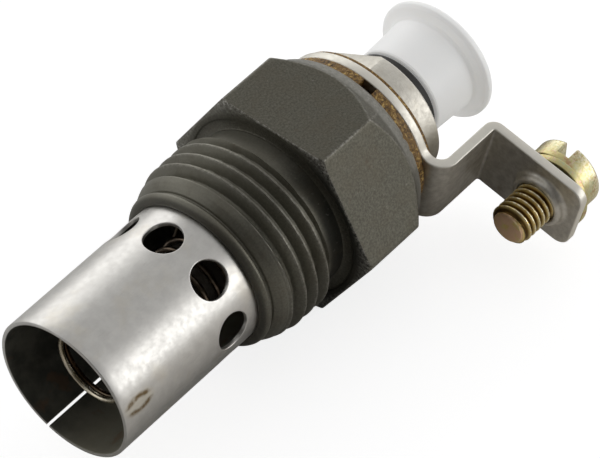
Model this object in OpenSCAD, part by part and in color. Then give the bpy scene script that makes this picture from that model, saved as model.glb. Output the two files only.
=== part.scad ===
// Cold-start flame heater plug: threaded hexagon body, perforated flame
// shield, electrically heated ball valve, insulated terminal strip and a
// capped fuel inlet. Millimetres. X runs along the plug from the shield's
// mouth to the fuel inlet, Z is up with the plug lying on a hexagon flat.

/* [Body] */
// distance from the origin, at mid thread, to the hexagon's front face
seat_x = 6.4; // [5:0.1:8]
// hexagon across flats
hex_af = 24; // [20:0.5:30]
// position behind the front face where the rear chamfer leaves the corners
hex_edge = 7.8; // [6:0.1:10]
// position behind the front face where the rear chamfer leaves the flats
hex_flat = 10.15; // [8:0.05:12]
// rear end of the rolled rim
rim_end = 12.1; // [11:0.1:14]
// bore of the rolled rim
rim_r = 10.22; // [9:0.01:11]
// major radius of the mounting thread, 7/8 in
thread_r = 11.1125; // [9:0.0125:13]
// root radius of the mounting thread
root_r = 10.0; // [8:0.05:12]
// radius of the neck behind the thread
neck_r = 9.85; // [9:0.05:10]
// inner radius of the seating face
seat_r = 11.2; // [11:0.05:12]
// depth of the relief inside the seating face
relief = 0.15; // [0.1:0.05:0.5]
// pitch of the mounting thread, 14 per inch
pitch = 1.8143; // [1:0.0001:2.5]
// number of thread grooves
grooves = 4; // [3:1:6]

/* [Shield] */
// outside radius of the rolled sheet shield
shield_r = 8.7; // [7:0.05:10]
// sheet thickness
sheet_t = 0.5; // [0.3:0.05:1]
// distance of the mouth ahead of the hexagon's front face
mouth = 32.9; // [25:0.1:40]
// air hole diameter
air_d = 4.4; // [3:0.1:6]
// distance of the air holes ahead of the hexagon's front face
air_x = 16.25; // [14:0.05:20]
// number of air holes
air_n = 8; // [4:1:12]
// turn of the first air hole about X, from +Y
air_a = 84.3; // [0:0.1:180]
// gap of the open seam
seam_w = 0.35; // [0.3:0.05:1.2]
// turn of the open seam about X, from +Y
seam_a = 288.5; // [180:0.5:360]

/* [Valve] */
// outside radius of the valve tube
tube_r = 2.5; // [2:0.1:3.5]
// bore radius of the valve tube
tube_bore = 1.35; // [1:0.05:2]
// ball radius
ball_r = 1.2; // [0.8:0.05:1.6]
// stem radius
stem_r = 0.9; // [0.5:0.05:1.2]

/* [Coils] */
// heater coil winding radius
coil_r = 4.25; // [3:0.05:5]
// heater coil wire radius
coil_w = 0.33; // [0.2:0.01:0.5]
// heater coil turns
coil_turns = 6; // [4:1:10]
// igniter loop radius
loop_r = 4.25; // [3.5:0.05:6]
// igniter wire radius
loop_w = 0.3; // [0.2:0.01:0.5]

/* [Terminal] */
// strip thickness
strip_t = 1.15; // [0.8:0.05:1.5]
// strip width
strip_w = 9.7; // [8:0.1:12]
// turn of the strip about X, from -Y
strip_a = 11.7; // [0:0.1:30]
// distance of the screw from the plug's axis
screw_off = 19.55; // [16:0.05:22]
// end of the tab from the plug's axis
tab_end = 24.35; // [20:0.05:27]
// terminal screw major radius
screw_r = 2.45; // [1.9:0.05:3]
// terminal screw head radius
head_r = 4.2; // [3.5:0.05:5]

/* [Inlet] */
// radius of the inlet stub under the cap
stub_r = 4.7; // [4:0.05:5.5]
// radius of the adaptor tube through the body
adapt_r = 4.95; // [4.5:0.05:5.5]
// clamp nut radius
nut_r = 8.2; // [7:0.05:9]
// clamp nut across its two flats
nut_af = 14.1; // [12:0.1:16]
// turn of the nut's flats about X, from +Y
nut_a = 60; // [0:1:180]
// cap barrel radius
cap_r = 5.75; // [5:0.05:6.5]
// cap flange radius
flange_r = 7.55; // [6.5:0.05:9]

/* [Hidden] */
$fn = 96;
hex_r = hex_af / 2 / cos(30);
hole_r = 2.5;
strip_x = 13.55;
strip_end = strip_x + strip_t;
nut_x = 15.15;
nut_end = 18.6;
tab_x = 22.4;
ball_x = 3.47;
stem_end = ball_x - ball_r - 0.03;
slot_a = 104;
weld_a = 161.4;
coil_a = -8;
coil_front = -21.3;
coil_rear = -10.7;
lead_w = 0.34;
lead_rr = 6.35;

// a profile of [x, r] points turned about X, x counted from the hexagon face
module turned(pts) {
  translate([seat_x, 0, 0])
    rotate([0, 90, 0])
      rotate_extrude()
        polygon([for (p = pts) [p[1], p[0]]]);
}

// a plain ring between two radii, x counted from the hexagon face
module ring(x0, x1, r0, r1) {
  translate([seat_x + x0, 0, 0])
    rotate([0, 90, 0])
      difference() {
        cylinder(r = r1, h = x1 - x0);
        translate([0, 0, -1])
          cylinder(r = r0, h = x1 - x0 + 2);
      }
}

// a plain rod along X
module rod(x0, x1, r) {
  translate([seat_x + x0, 0, 0])
    rotate([0, 90, 0])
      cylinder(r = r, h = x1 - x0);
}

// stands its children at an angle about X, measured from +Y towards +Z
module at_angle(a) {
  rotate([a, 0, 0])
    children();
}

// a wire of radius w swept along the points of path, closed at both ends
module wire(path, w, sides) {
  n = len(path);
  tang = [for (i = [0 : n - 1])
    let (d = path[min(i + 1, n - 1)] - path[max(i - 1, 0)]) d / norm(d)];
  out = [for (i = [0 : n - 1])
    let (p = path[i], q = [0, p[1], p[2]])
    let (e = q - tang[i] * (q * tang[i])) e / norm(e)];
  side = [for (i = [0 : n - 1]) cross(tang[i], out[i])];
  pts = [for (i = [0 : n - 1], k = [0 : sides - 1])
    let (a = k * 360 / sides)
    path[i] + w * cos(a) * out[i] + w * sin(a) * side[i]];
  skin = [for (i = [0 : n - 2], k = [0 : sides - 1])
    let (k2 = (k + 1) % sides)
    [i * sides + k, (i + 1) * sides + k, (i + 1) * sides + k2, i * sides + k2]];
  cap0 = [for (k = [0 : sides - 1]) k];
  cap1 = [for (k = [sides - 1 : -1 : 0]) (n - 1) * sides + k];
  polyhedron(points = pts, faces = concat(skin, [cap0], [cap1]), convexity = 10);
}

// a point at x behind the hexagon face, radius r, angle a about X
function polar(x, r, a) = [seat_x + x, r * cos(a), r * sin(a)];

// a helix of points from x0 to x1 and from angle a0 to a1, both radii stated
function helix(x0, x1, r0, r1, a0, a1, n) = [for (i = [0 : n])
  let (t = i / n) polar(x0 + (x1 - x0) * t, r0 + (r1 - r0) * t, a0 + (a1 - a0) * t)];

// one-piece threaded hexagon body with rolled rims at both ends
module hex_body() {
  first = -2.55 - pitch / 2;
  color([0.30, 0.28, 0.25])
    difference() {
      union() {
        // hexagon, chamfered at both faces
        intersection() {
          translate([seat_x, 0, 0])
            rotate([0, 90, 0])
              rotate([0, 0, 30])
                cylinder(r = hex_r, h = hex_flat, $fn = 6);
          turned([[relief, 0], [relief, seat_r], [0, seat_r], [0, 13.35],
            [0.3, hex_r + 0.05], [hex_edge, hex_r + 0.05], [hex_flat, 11.95],
            [hex_flat, 0]]);
        }
        // rear rim, rolled inwards over the insulating washer
        turned([[hex_flat - 0.5, 0], [hex_flat - 0.5, 11.8], [hex_flat + 0.1, 11.75],
          [hex_flat + 0.75, 11.5], [hex_flat + 1.35, 11.1], [rim_end - 0.15, 10.72],
          [rim_end, 10.55], [rim_end, 0]]);
        // neck behind the thread
        turned([[-3.2, 0], [-3.2, neck_r], [relief, neck_r], [relief + 0.1, 0]]);
        // thread blank, its front tapered as a lead
        turned([[-10.95, 0], [-10.95, 9.7], [-10, 10.42], [-9, 10.78], [-8.3, 11.0],
          [-8, thread_r], [-2.75, thread_r],
          [-2.3, neck_r], [-2.3, 0]]);
        // groove and front lip rolled on to the shield
        turned([[-11.3, 0], [-11.3, 9.4], [-10.9, 9.4], [-10.9, 0]]);
        turned([[-12.4, 0], [-12.4, 9.3], [-12.25, 9.6], [-12.0, 9.78], [-11.6, 9.85],
          [-11.3, 9.7], [-11.25, 0]]);
      }
      // thread grooves
      for (i = [0 : grooves - 1])
        turned([[first - i * pitch - 0.66, thread_r + 0.5],
          [first - i * pitch - 0.62, thread_r], [first - i * pitch - 0.1, root_r],
          [first - i * pitch + 0.1, root_r], [first - i * pitch + 0.62, thread_r],
          [first - i * pitch + 0.66, thread_r + 0.5]]);
      // stepped bore: shield, chamber, bush head, bush shank, washer recess
      rod(-13, -7.6, shield_r);
      rod(-8, -5.4, 7.6);
      rod(-6, -2.4, 8.1);
      rod(-3, 12, 7.4);
      rod(10.9, 13, rim_r);
    }
}

// perforated shield rolled from sheet with its seam left open
module shield() {
  color([0.72, 0.70, 0.67])
    difference() {
      ring(-mouth, -7.6, shield_r - sheet_t, shield_r);
      for (i = [0 : air_n - 1])
        at_angle(air_a + i * 360 / air_n)
          translate([seat_x - air_x, 6, 0])
            rotate([-90, 0, 0])
              cylinder(r = air_d / 2, h = 5, $fn = 64);
      at_angle(seam_a)
        translate([seat_x - mouth - 1, 6, -seam_w / 2])
          cube([30, 5, seam_w]);
    }
}

// tube through the body that carries the valve and ends in the fuel inlet
module fuel_adaptor() {
  color([0.55, 0.55, 0.53])
    turned([[-10.4, tube_r], [-10.4, 3.7], [-10.1, 4.0], [-7.4, 4.0], [-7.4, 5.5],
      [-7.2, 5.7], [-5.95, 5.7], [-5.95, adapt_r], [18.55, adapt_r], [18.55, stub_r],
      [26.0, stub_r], [26.4, 4.3], [26.4, 3.5], [26.0, 3.1], [10, 3.1], [8.8, 1.2],
      [6.2, 1.2], [6.2, 2.1], [2.2, 2.1], [2.2, tube_r], [-10.4, tube_r]]);
}

// expanding tube: its length, heated by the coil, opens the ball valve
module valve_tube() {
  color([0.62, 0.60, 0.56])
    difference() {
      turned([[-23.0, 0.98], [-23.0, 1.9], [-22.6, 2.3], [-22.0, tube_r], [2.2, tube_r],
        [2.2, tube_bore], [-20.6, tube_bore], [-21.2, 0.98]]);
      for (a = [0, 90])
        at_angle(a + 30)
          translate([seat_x - 21.8, 0, 0])
            rotate([90, 0, 0])
              cylinder(r = 0.35, h = 8, center = true, $fn = 24);
    }
}

// hardened seat pressed in the adaptor, its cone facing the ball
module valve_seat() {
  color([0.66, 0.64, 0.60])
    turned([[6.2, 0.7], [6.2, 2.1], [3.3, 2.1], [3.3, 1.75], [4.55, 0.7]]);
}

// valve ball resting just off the cone
module valve_ball() {
  color([0.80, 0.80, 0.80])
    translate([seat_x + ball_x, 0, 0])
      sphere(r = ball_r, $fn = 32);
}

// stem between the tube's tip and the ball
module valve_stem() {
  color([0.68, 0.66, 0.62])
    difference() {
      turned([[-23.6, 0], [-23.6, 0.7], [-23.4, 0.92], [-20.9, 0.92], [-20.5, stem_r],
        [stem_end - 0.05, stem_r], [stem_end, stem_r - 0.05], [stem_end, 0]]);
      translate([seat_x - 24, -2, -0.15])
        cube([0.7, 4, 0.3]);
    }
}

// ceramic sleeve that keeps the heater coil off the valve tube
module coil_sleeve() {
  color([0.85, 0.82, 0.74])
    turned([[-22.0, tube_r + 0.02], [-22.0, 3.5], [-21.7, 3.75], [-10.75, 3.75],
      [-10.45, 3.5], [-10.45, tube_r + 0.02]]);
}

// resistance wire wound on the sleeve
module heater_coil() {
  color([0.45, 0.40, 0.34])
    wire(helix(coil_front, coil_rear, coil_r, coil_r, coil_a, coil_a + 360 * coil_turns,
      26 * coil_turns), coil_w, 8);
}

// two open loops ahead of the valve, stretched back to the heater coil, with
// a tail welded to the shield
module igniter_coil() {
  stretched = helix(coil_front, -28.0, coil_r, loop_r, coil_a, coil_a - 346, 20);
  loops = helix(-28.05, -29.05, loop_r, loop_r, coil_a - 361, coil_a - 900, 32);
  tail = [polar(-29.35, 4.9, weld_a + 5), polar(-29.75, 6.4, weld_a + 1),
    polar(-30.2, 7.9, weld_a)];
  color([0.78, 0.74, 0.66])
    union() {
      wire(concat(stretched, loops, tail), loop_w, 8);
      intersection() {
        ring(-31.8, -28.6, 7.75, 8.2);
        at_angle(weld_a)
          translate([seat_x - 32, 6, -0.95])
            cube([4, 4, 1.9]);
      }
    }
}

// live wire from the rear end of the heater coil through the bush to the strip
module live_lead() {
  a = slot_a;
  color([0.70, 0.68, 0.62])
    wire([polar(coil_rear, coil_r, coil_a), polar(-10.5, 4.55, coil_a + 20),
      polar(-10.15, 5.05, coil_a + 45), polar(-9.7, 5.5, coil_a + 70),
      polar(-9.1, 5.95, coil_a + 93), polar(-8.4, 6.25, coil_a + 108),
      polar(-7.7, lead_rr, a), polar(-5.4, lead_rr, a), polar(0, lead_rr, a),
      polar(6, lead_rr, a), polar(12.0, lead_rr, a),
      polar(12.7, 6.8, a), polar(13.05, 7.6, a), polar(13.18, 8.8, a)], lead_w, 8);
}

// soft copper washer that seals the adaptor's shoulder on the bush
module copper_washer() {
  color([0.72, 0.45, 0.30])
    ring(-5.95, -5.4, adapt_r, 5.7);
}

// moulded bush that keeps the adaptor and the lead clear of the body
module insulating_bush() {
  color([0.55, 0.36, 0.20])
    difference() {
      union() {
        ring(-5.4, -2.4, adapt_r, 8.1);
        ring(-2.5, strip_end, adapt_r, 7.4);
      }
      // passage of the lead and the slot where it leaves
      at_angle(slot_a) {
        translate([seat_x - 7, lead_rr, 0])
          rotate([0, 90, 0])
            cylinder(r = 0.4, h = 20, $fn = 32);
        translate([seat_x + 11.6, lead_rr, -0.4])
          cube([1.95, 2, 0.8]);
      }
    }
}

// thick insulating washer standing out of the rim, slotted for the lead
module outer_washer() {
  color([0.50, 0.33, 0.14])
    difference() {
      turned([[10.9, 7.4], [10.9, 10.15], [13.35, 10.15], [strip_x, 9.95], [strip_x, 7.4]]);
      at_angle(slot_a)
        translate([seat_x + 10, 7, -0.9])
          cube([4, 4, 1.8]);
    }
}

// outline of the strip seen from its edge, x across and distance up
module strip_profile() {
  t = strip_t;
  // ring end
  translate([strip_x, 8.2])
    square([t, 1.2]);
  // first bend
  intersection() {
    difference() {
      translate([strip_x + 2.45, 9.35])
        circle(r = 2.45, $fn = 64);
      translate([strip_x + 2.45, 9.35])
        circle(r = 2.45 - t, $fn = 64);
    }
    translate([strip_x, 9.35])
      square([2.45, 2.45]);
  }
  // arm
  translate([strip_x + 2.4, 11.8 - t])
    square([tab_x - 0.3 - strip_x - 2.4, t]);
  // second bend
  intersection() {
    difference() {
      translate([tab_x - 0.3, 12.1])
        circle(r = 0.3 + t, $fn = 64);
      translate([tab_x - 0.3, 12.1])
        circle(r = 0.3, $fn = 64);
    }
    translate([tab_x - 0.3, 12.1 - 0.3 - t])
      square([0.3 + t, 0.3 + t]);
  }
  // tab
  translate([tab_x, 12.05])
    square([t, tab_end - 12.05]);
}

// one-piece terminal: ring, arm and tab, with a drawn collar for the screw
module terminal_strip() {
  w = strip_w;
  c = 1.8;
  color([0.66, 0.64, 0.60])
    rotate([strip_a, 0, 0])
      difference() {
        union() {
          intersection() {
            translate([seat_x, 0, -w / 2])
              mirror([0, 1, 0])
                linear_extrude(height = w)
                  strip_profile();
            // rounded tab corners
            union() {
              translate([seat_x, -(tab_end - c), -w / 2])
                cube([30, tab_end, w]);
              translate([seat_x, -tab_end, -w / 2 + c])
                cube([30, tab_end, w - 2 * c]);
              for (s = [-1, 1])
                translate([seat_x, -(tab_end - c), s * (w / 2 - c)])
                  rotate([0, 90, 0])
                    cylinder(r = c, h = 30, $fn = 48);
            }
          }
          // ring
          ring(strip_x, strip_end, 7.4, 10.0);
          // drawn collar
          translate([seat_x, -screw_off, 0])
            rotate([0, 90, 0])
              rotate_extrude()
                polygon([[0, 21.3], [2.75, 21.3], [2.92, 21.34], [3.07, 21.43],
                  [3.19, 21.57], [3.25, 21.75], [3.27, 21.95], [3.32, 22.14],
                  [3.43, 22.29], [3.6, tab_x], [3.6, tab_x + 0.2], [0, tab_x + 0.2]]);
        }
        translate([seat_x + 20, -screw_off, 0])
          rotate([0, 90, 0])
            cylinder(r = hole_r, h = 5);
        rod(strip_x - 1, strip_end + 1, 7.4);
      }
}

// thin insulating washer between strip and nut
module rear_washer() {
  color([0.45, 0.27, 0.12])
    ring(strip_end, nut_x, adapt_r, 9.75);
}

// round clamp nut with two spanner flats
module clamp_nut() {
  color([0.70, 0.67, 0.62])
    intersection() {
      turned([[nut_x, adapt_r], [nut_x, nut_r], [nut_end - 0.25, nut_r],
        [nut_end, nut_r - 0.25], [nut_end, adapt_r]]);
      at_angle(nut_a)
        translate([seat_x + nut_x - 1, -nut_af / 2, -10])
          cube([6, nut_af, 20]);
    }
}

// rubber ring on the stub behind the nut
module seal_ring() {
  color([0.05, 0.05, 0.05])
    turned([[nut_end, stub_r], [nut_end, 5.35], [nut_end + 0.3, 5.6], [20.8, 5.6],
      [21.05, 5.4], [21.05, stub_r]]);
}

// wire gauze thimble in the inlet bore
module inlet_filter() {
  color([0.60, 0.56, 0.45])
    turned([[25.2, 2.75], [25.2, 3.1], [24.4, 3.1], [24.4, 2.6], [18.3, 2.3], [18.0, 2.0],
      [18.0, 0], [18.3, 0], [18.35, 1.8], [18.6, 2.05], [24.6, 2.35]]);
}

// push-on cap that keeps the inlet clean until the plug is fitted
module transit_cap() {
  color([0.90, 0.90, 0.88])
    turned([[21.3, 4.77], [21.3, 5.55], [21.45, 5.68], [27.1, 5.92], [27.35, 6.3],
      [27.6, flange_r - 0.3], [27.9, flange_r], [28.4, flange_r], [28.75, flange_r - 0.35],
      [28.75, 6.2], [28.3, 5.9], [28.1, 0], [27.0, 0], [27.0, 4.55], [26.7, 4.77]]);
}

// slotted terminal screw, its shank pointing to the front
module terminal_screw() {
  s = screw_r;
  color([0.74, 0.66, 0.38])
    rotate([strip_a, 0, 0])
      translate([seat_x, -screw_off, 0])
        rotate([0, 90, 0])
          difference() {
            rotate_extrude()
              polygon([[0, 16.6], [1.95, 16.6], [s, 17.1], [s, 25.0], [head_r - 0.1, 25.0],
                [head_r, 25.1], [head_r, 27.3], [head_r - 0.45, 27.7], [0, 27.7]]);
            // thread grooves
            for (i = [0 : 8])
              rotate_extrude()
                polygon([[s + 0.3, 17.35 + i * 0.8], [s, 17.4 + i * 0.8],
                  [s - 0.42, 17.65 + i * 0.8], [s - 0.42, 17.75 + i * 0.8],
                  [s, 18.0 + i * 0.8], [s + 0.3, 18.05 + i * 0.8]]);
            // driver slot
            rotate([0, 0, -10])
              translate([-6, -0.75, 25.9])
                cube([12, 1.5, 3]);
          }
}

// split spring washer under the screw head
module spring_washer() {
  color([0.72, 0.66, 0.45])
    rotate([strip_a, 0, 0])
      translate([seat_x, -screw_off - 0.32, -0.09])
        rotate([0, 90, 0])
          difference() {
            translate([0, 0, 23.7])
              cylinder(r = 4.55, h = 1.2);
            translate([0, 0, 23])
              cylinder(r = 2.85, h = 3);
            rotate([0, 0, -30])
              translate([2, -0.4, 23])
                cube([4, 0.8, 3]);
          }
}

hex_body();
shield();
fuel_adaptor();
valve_tube();
valve_seat();
valve_ball();
valve_stem();
coil_sleeve();
heater_coil();
igniter_coil();
live_lead();
copper_washer();
insulating_bush();
outer_washer();
terminal_strip();
rear_washer();
clamp_nut();
seal_ring();
inlet_filter();
transit_cap();
terminal_screw();
spring_washer();
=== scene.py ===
"""Looks of the flame heater plug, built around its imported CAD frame.

Lengths are in millimetres until a mesh is made. x is counted from the hexagon's
front face, and angles run about X from +Y towards +Z.
"""

import math

import bmesh
import bpy
import numpy as np
from mathutils import Matrix, Vector, geometry, noise


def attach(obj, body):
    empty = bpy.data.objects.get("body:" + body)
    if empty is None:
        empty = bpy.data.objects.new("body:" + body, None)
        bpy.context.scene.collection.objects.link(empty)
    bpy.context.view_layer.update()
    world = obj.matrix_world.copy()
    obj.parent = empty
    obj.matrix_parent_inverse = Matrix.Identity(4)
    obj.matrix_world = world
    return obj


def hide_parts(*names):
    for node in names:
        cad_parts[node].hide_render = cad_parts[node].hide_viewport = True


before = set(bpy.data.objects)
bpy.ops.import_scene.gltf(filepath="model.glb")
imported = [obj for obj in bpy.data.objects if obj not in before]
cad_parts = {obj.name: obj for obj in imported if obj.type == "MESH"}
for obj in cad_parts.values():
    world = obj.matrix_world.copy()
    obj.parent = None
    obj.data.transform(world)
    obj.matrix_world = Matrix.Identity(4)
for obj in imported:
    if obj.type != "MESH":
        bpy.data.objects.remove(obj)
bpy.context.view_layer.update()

MM = 0.001
SHARP = 32  # degrees between two faces past which their edge stays sharp
SEAT = 6.4  # the hexagon's front face in the row frame
TURN = 11.7  # the terminal strip's turn about X, from -Y
SCREW_OFF = 19.55  # the terminal screw's axis from the plug's
PITCH = 1.8143  # the mounting thread's
SCREW_PITCH = 0.8
SHIELD_R, SHEET = 8.7, 0.5
MOUTH, SHIELD_END = -32.9, -7.6
HOLE_X, HOLE_R, HOLE_A = -16.25, 2.2, 84.3
SEAM_A, SEAM_W = 288.5, 0.35
TAB_A = 161.4  # the igniter's weld tab
WELD_A, WELD_X = 164.0, -30.5  # the weld's mark outside the shield
WELD_L, WELD_W = 1.5, 0.82  # its half length and half width
COIL_R, COIL_A = 4.25, -8
COIL_FRONT, COIL_REAR, COIL_TURNS = -21.3, -10.7, 6
HEATER_WIRE_R, LOOP_WIRE_R = 0.33, 0.3
SLOT_A = 104  # the outer washer's slot
# crest of the mounting thread, tapered as a lead at its front
CREST_X = (-10.95, -10.6, -10.25, -10.0, -9.5, -9.0, -8.5, -8.0, -7.7)
CREST_R = (9.6, 10.0, 10.3, 10.42, 10.62, 10.78, 10.95, 11.08, 11.11)
FLAT_R = 12  # half the hexagon across flats
HEX_R = FLAT_R / math.cos(math.radians(30))
NECK_R = 9.85


# ---------------------------------------------------------------- mesh helpers
def polar(x, r, a):
    """A point at x, radius r and a degrees about the plug's axis."""
    t = math.radians(a)
    return (x, r * math.cos(t), r * math.sin(t))


def to_row(points):
    """Millimetres from the hexagon's face to metres in the row frame."""
    p = np.asarray(points, float) + (SEAT, 0, 0)
    return p * MM


def strip_axis(points, off=0.0):
    """Points of the strip's own frame, or of one off to its -Y side, turned into place."""
    t = math.radians(TURN)
    p = np.asarray(points, float) + (0, -off, 0)
    c, s = math.cos(t), math.sin(t)
    y, z = p[:, 1] * c - p[:, 2] * s, p[:, 1] * s + p[:, 2] * c
    return np.stack([p[:, 0], y, z], 1)


def make(name, verts, faces, angle=SHARP, weld=0.0):
    """A mesh object from points in millimetres, smooth but for its sharp edges."""
    mesh = bpy.data.meshes.new(name)
    mesh.from_pydata(to_row(verts).tolist(), [], [list(map(int, f)) for f in faces])
    bm = bmesh.new()
    bm.from_mesh(mesh)
    if weld:
        bmesh.ops.remove_doubles(bm, verts=bm.verts, dist=weld * MM)
    bmesh.ops.recalc_face_normals(bm, faces=bm.faces)
    bm.to_mesh(mesh)
    bm.free()
    mesh.shade_smooth()
    mesh.set_sharp_from_angle(angle=math.radians(angle))
    mesh.update()
    obj = bpy.data.objects.new(name, mesh)
    bpy.context.scene.collection.objects.link(obj)
    return obj


def grid_faces(rows, cols, wrap_rows=False, wrap_cols=False, start=0):
    """Quads over a grid of rows x cols points, numbered row by row."""
    faces = []
    for i in range(rows if wrap_rows else rows - 1):
        for j in range(cols if wrap_cols else cols - 1):
            i2, j2 = (i + 1) % rows, (j + 1) % cols
            faces.append((start + i * cols + j, start + i * cols + j2,
                          start + i2 * cols + j2, start + i2 * cols + j))
    return faces


def fillet(points, radii, steps, closed=True):
    """A polygon with its corners rounded, each by its own radius."""
    out, n = [], len(points)
    for i, p in enumerate(points):
        r = radii[i] if isinstance(radii, (list, tuple)) else radii
        if r <= 0 or (not closed and i in (0, n - 1)):
            out.append(tuple(p))
            continue
        p = np.array(p, float)
        a, b = np.array(points[i - 1], float) - p, np.array(points[(i + 1) % n], float) - p
        la, lb = np.linalg.norm(a), np.linalg.norm(b)
        a, b = a / la, b / lb
        half = math.acos(max(-1.0, min(1.0, float(a @ b)))) / 2
        if half > 1.55:
            out.append(tuple(p))
            continue
        reach = min(r / math.tan(half), la * 0.45, lb * 0.45)
        for k in range(steps + 1):
            t = k / steps
            q = p + a * reach * (1 - t) ** 2 + b * reach * t ** 2
            out.append(tuple(q))
    return out


def turned(rows, angles):
    """Points of rows of (x, r), each of them given at every angle about X."""
    t = np.radians(angles)
    verts = []
    for x, r in rows:
        verts += list(zip(x, r * np.cos(t), r * np.sin(t)))
    return verts


def rod_faces(count, m):
    """Faces of a closed section of m points that is repeated count times, with its ends."""
    ends = [tuple(range(m)), tuple((count - 1) * m + k for k in reversed(range(m)))]
    return grid_faces(count, m, wrap_cols=True) + ends


def fan(pole, base, n):
    """Triangles from a pole to a ring of n points that starts at base."""
    return [(pole, base + j, base + (j + 1) % n) for j in range(n)]


def lathe(name, profile, turns, angle=SHARP):
    """A profile of (x, r) points, both its ends on the axis, turned about X."""
    body = profile[1:-1]
    verts = [polar(x, r, 360 * j / turns) for x, r in body for j in range(turns)]
    faces = grid_faces(len(body), turns, wrap_cols=True)
    for end, row in ((profile[0], 0), (profile[-1], len(body) - 1)):
        faces += fan(len(verts), row * turns, turns)
        verts.append((end[0], 0, 0))
    return make(name, verts, faces, angle)


def smooth_path(points, per):
    """A Catmull-Rom curve through the points, in per steps from each to the next."""
    p = [np.array(q, float) for q in points]
    p = [2 * p[0] - p[1]] + p + [2 * p[-1] - p[-2]]
    out = []
    for i in range(1, len(p) - 2):
        for k in range(per):
            t = k / per
            a, b, c, d = p[i - 1], p[i], p[i + 1], p[i + 2]
            out.append(0.5 * (2 * b + (c - a) * t + (2 * a - 5 * b + 4 * c - d) * t * t
                              + (3 * b - a - 3 * c + d) * t ** 3))
    out.append(p[-2])
    return out


def sweep(path, section):
    """Points and faces of a closed section, in (outward, side), along a path about X."""
    path = [np.array(p, float) for p in path]
    verts, last = [], len(path) - 1
    for i, p in enumerate(path):
        t = path[min(i + 1, last)] - path[max(i - 1, 0)]
        t /= np.linalg.norm(t)
        out = np.array([0, p[1], p[2]])
        out -= t * (out @ t)
        out /= np.linalg.norm(out)
        side = np.cross(t, out)
        verts += [tuple(p + out * u + side * v) for u, v in section]
    return verts, rod_faces(len(path), len(section))


def disc(radius, sides):
    """The round section of a wire."""
    return [(radius * math.cos(2 * math.pi * k / sides),
             radius * math.sin(2 * math.pi * k / sides)) for k in range(sides)]


def helix(x0, x1, r, a0, a1, n):
    """A helix about X, in n steps."""
    return [polar(x0 + (x1 - x0) * i / n, r, a0 + (a1 - a0) * i / n) for i in range(n + 1)]


def stand_for(obj, body, node, material):
    """obj rides on a body, stands for a CAD node and takes its finish."""
    obj.data.materials.clear()
    obj.data.materials.append(material)
    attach(obj, body)
    if node:
        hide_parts(node)


def carry(node, material, bevel=0.0):
    """Keeps a CAD node and gives it its finish, with its edges broken by bevel mm."""
    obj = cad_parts[node]
    obj.data.materials.clear()
    obj.data.materials.append(material)
    weld = obj.modifiers.new("join", "WELD")
    weld.merge_threshold = 0.002 * MM
    if bevel:
        mod = obj.modifiers.new("edges", "BEVEL")
        mod.width = bevel * MM
        mod.segments = 3
        mod.limit_method = "ANGLE"
        mod.angle_limit = math.radians(SHARP)
        mod.use_clamp_overlap = True
        mod.harden_normals = True
    obj.data.shade_smooth()
    obj.data.set_sharp_from_angle(angle=math.radians(SHARP))


def store(obj, name, values):
    """A number for each vertex, which a material reads."""
    attribute = obj.data.attributes.new(name, "FLOAT", "POINT")
    attribute.data.foreach_set("value", np.asarray(values, np.float32))


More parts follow.
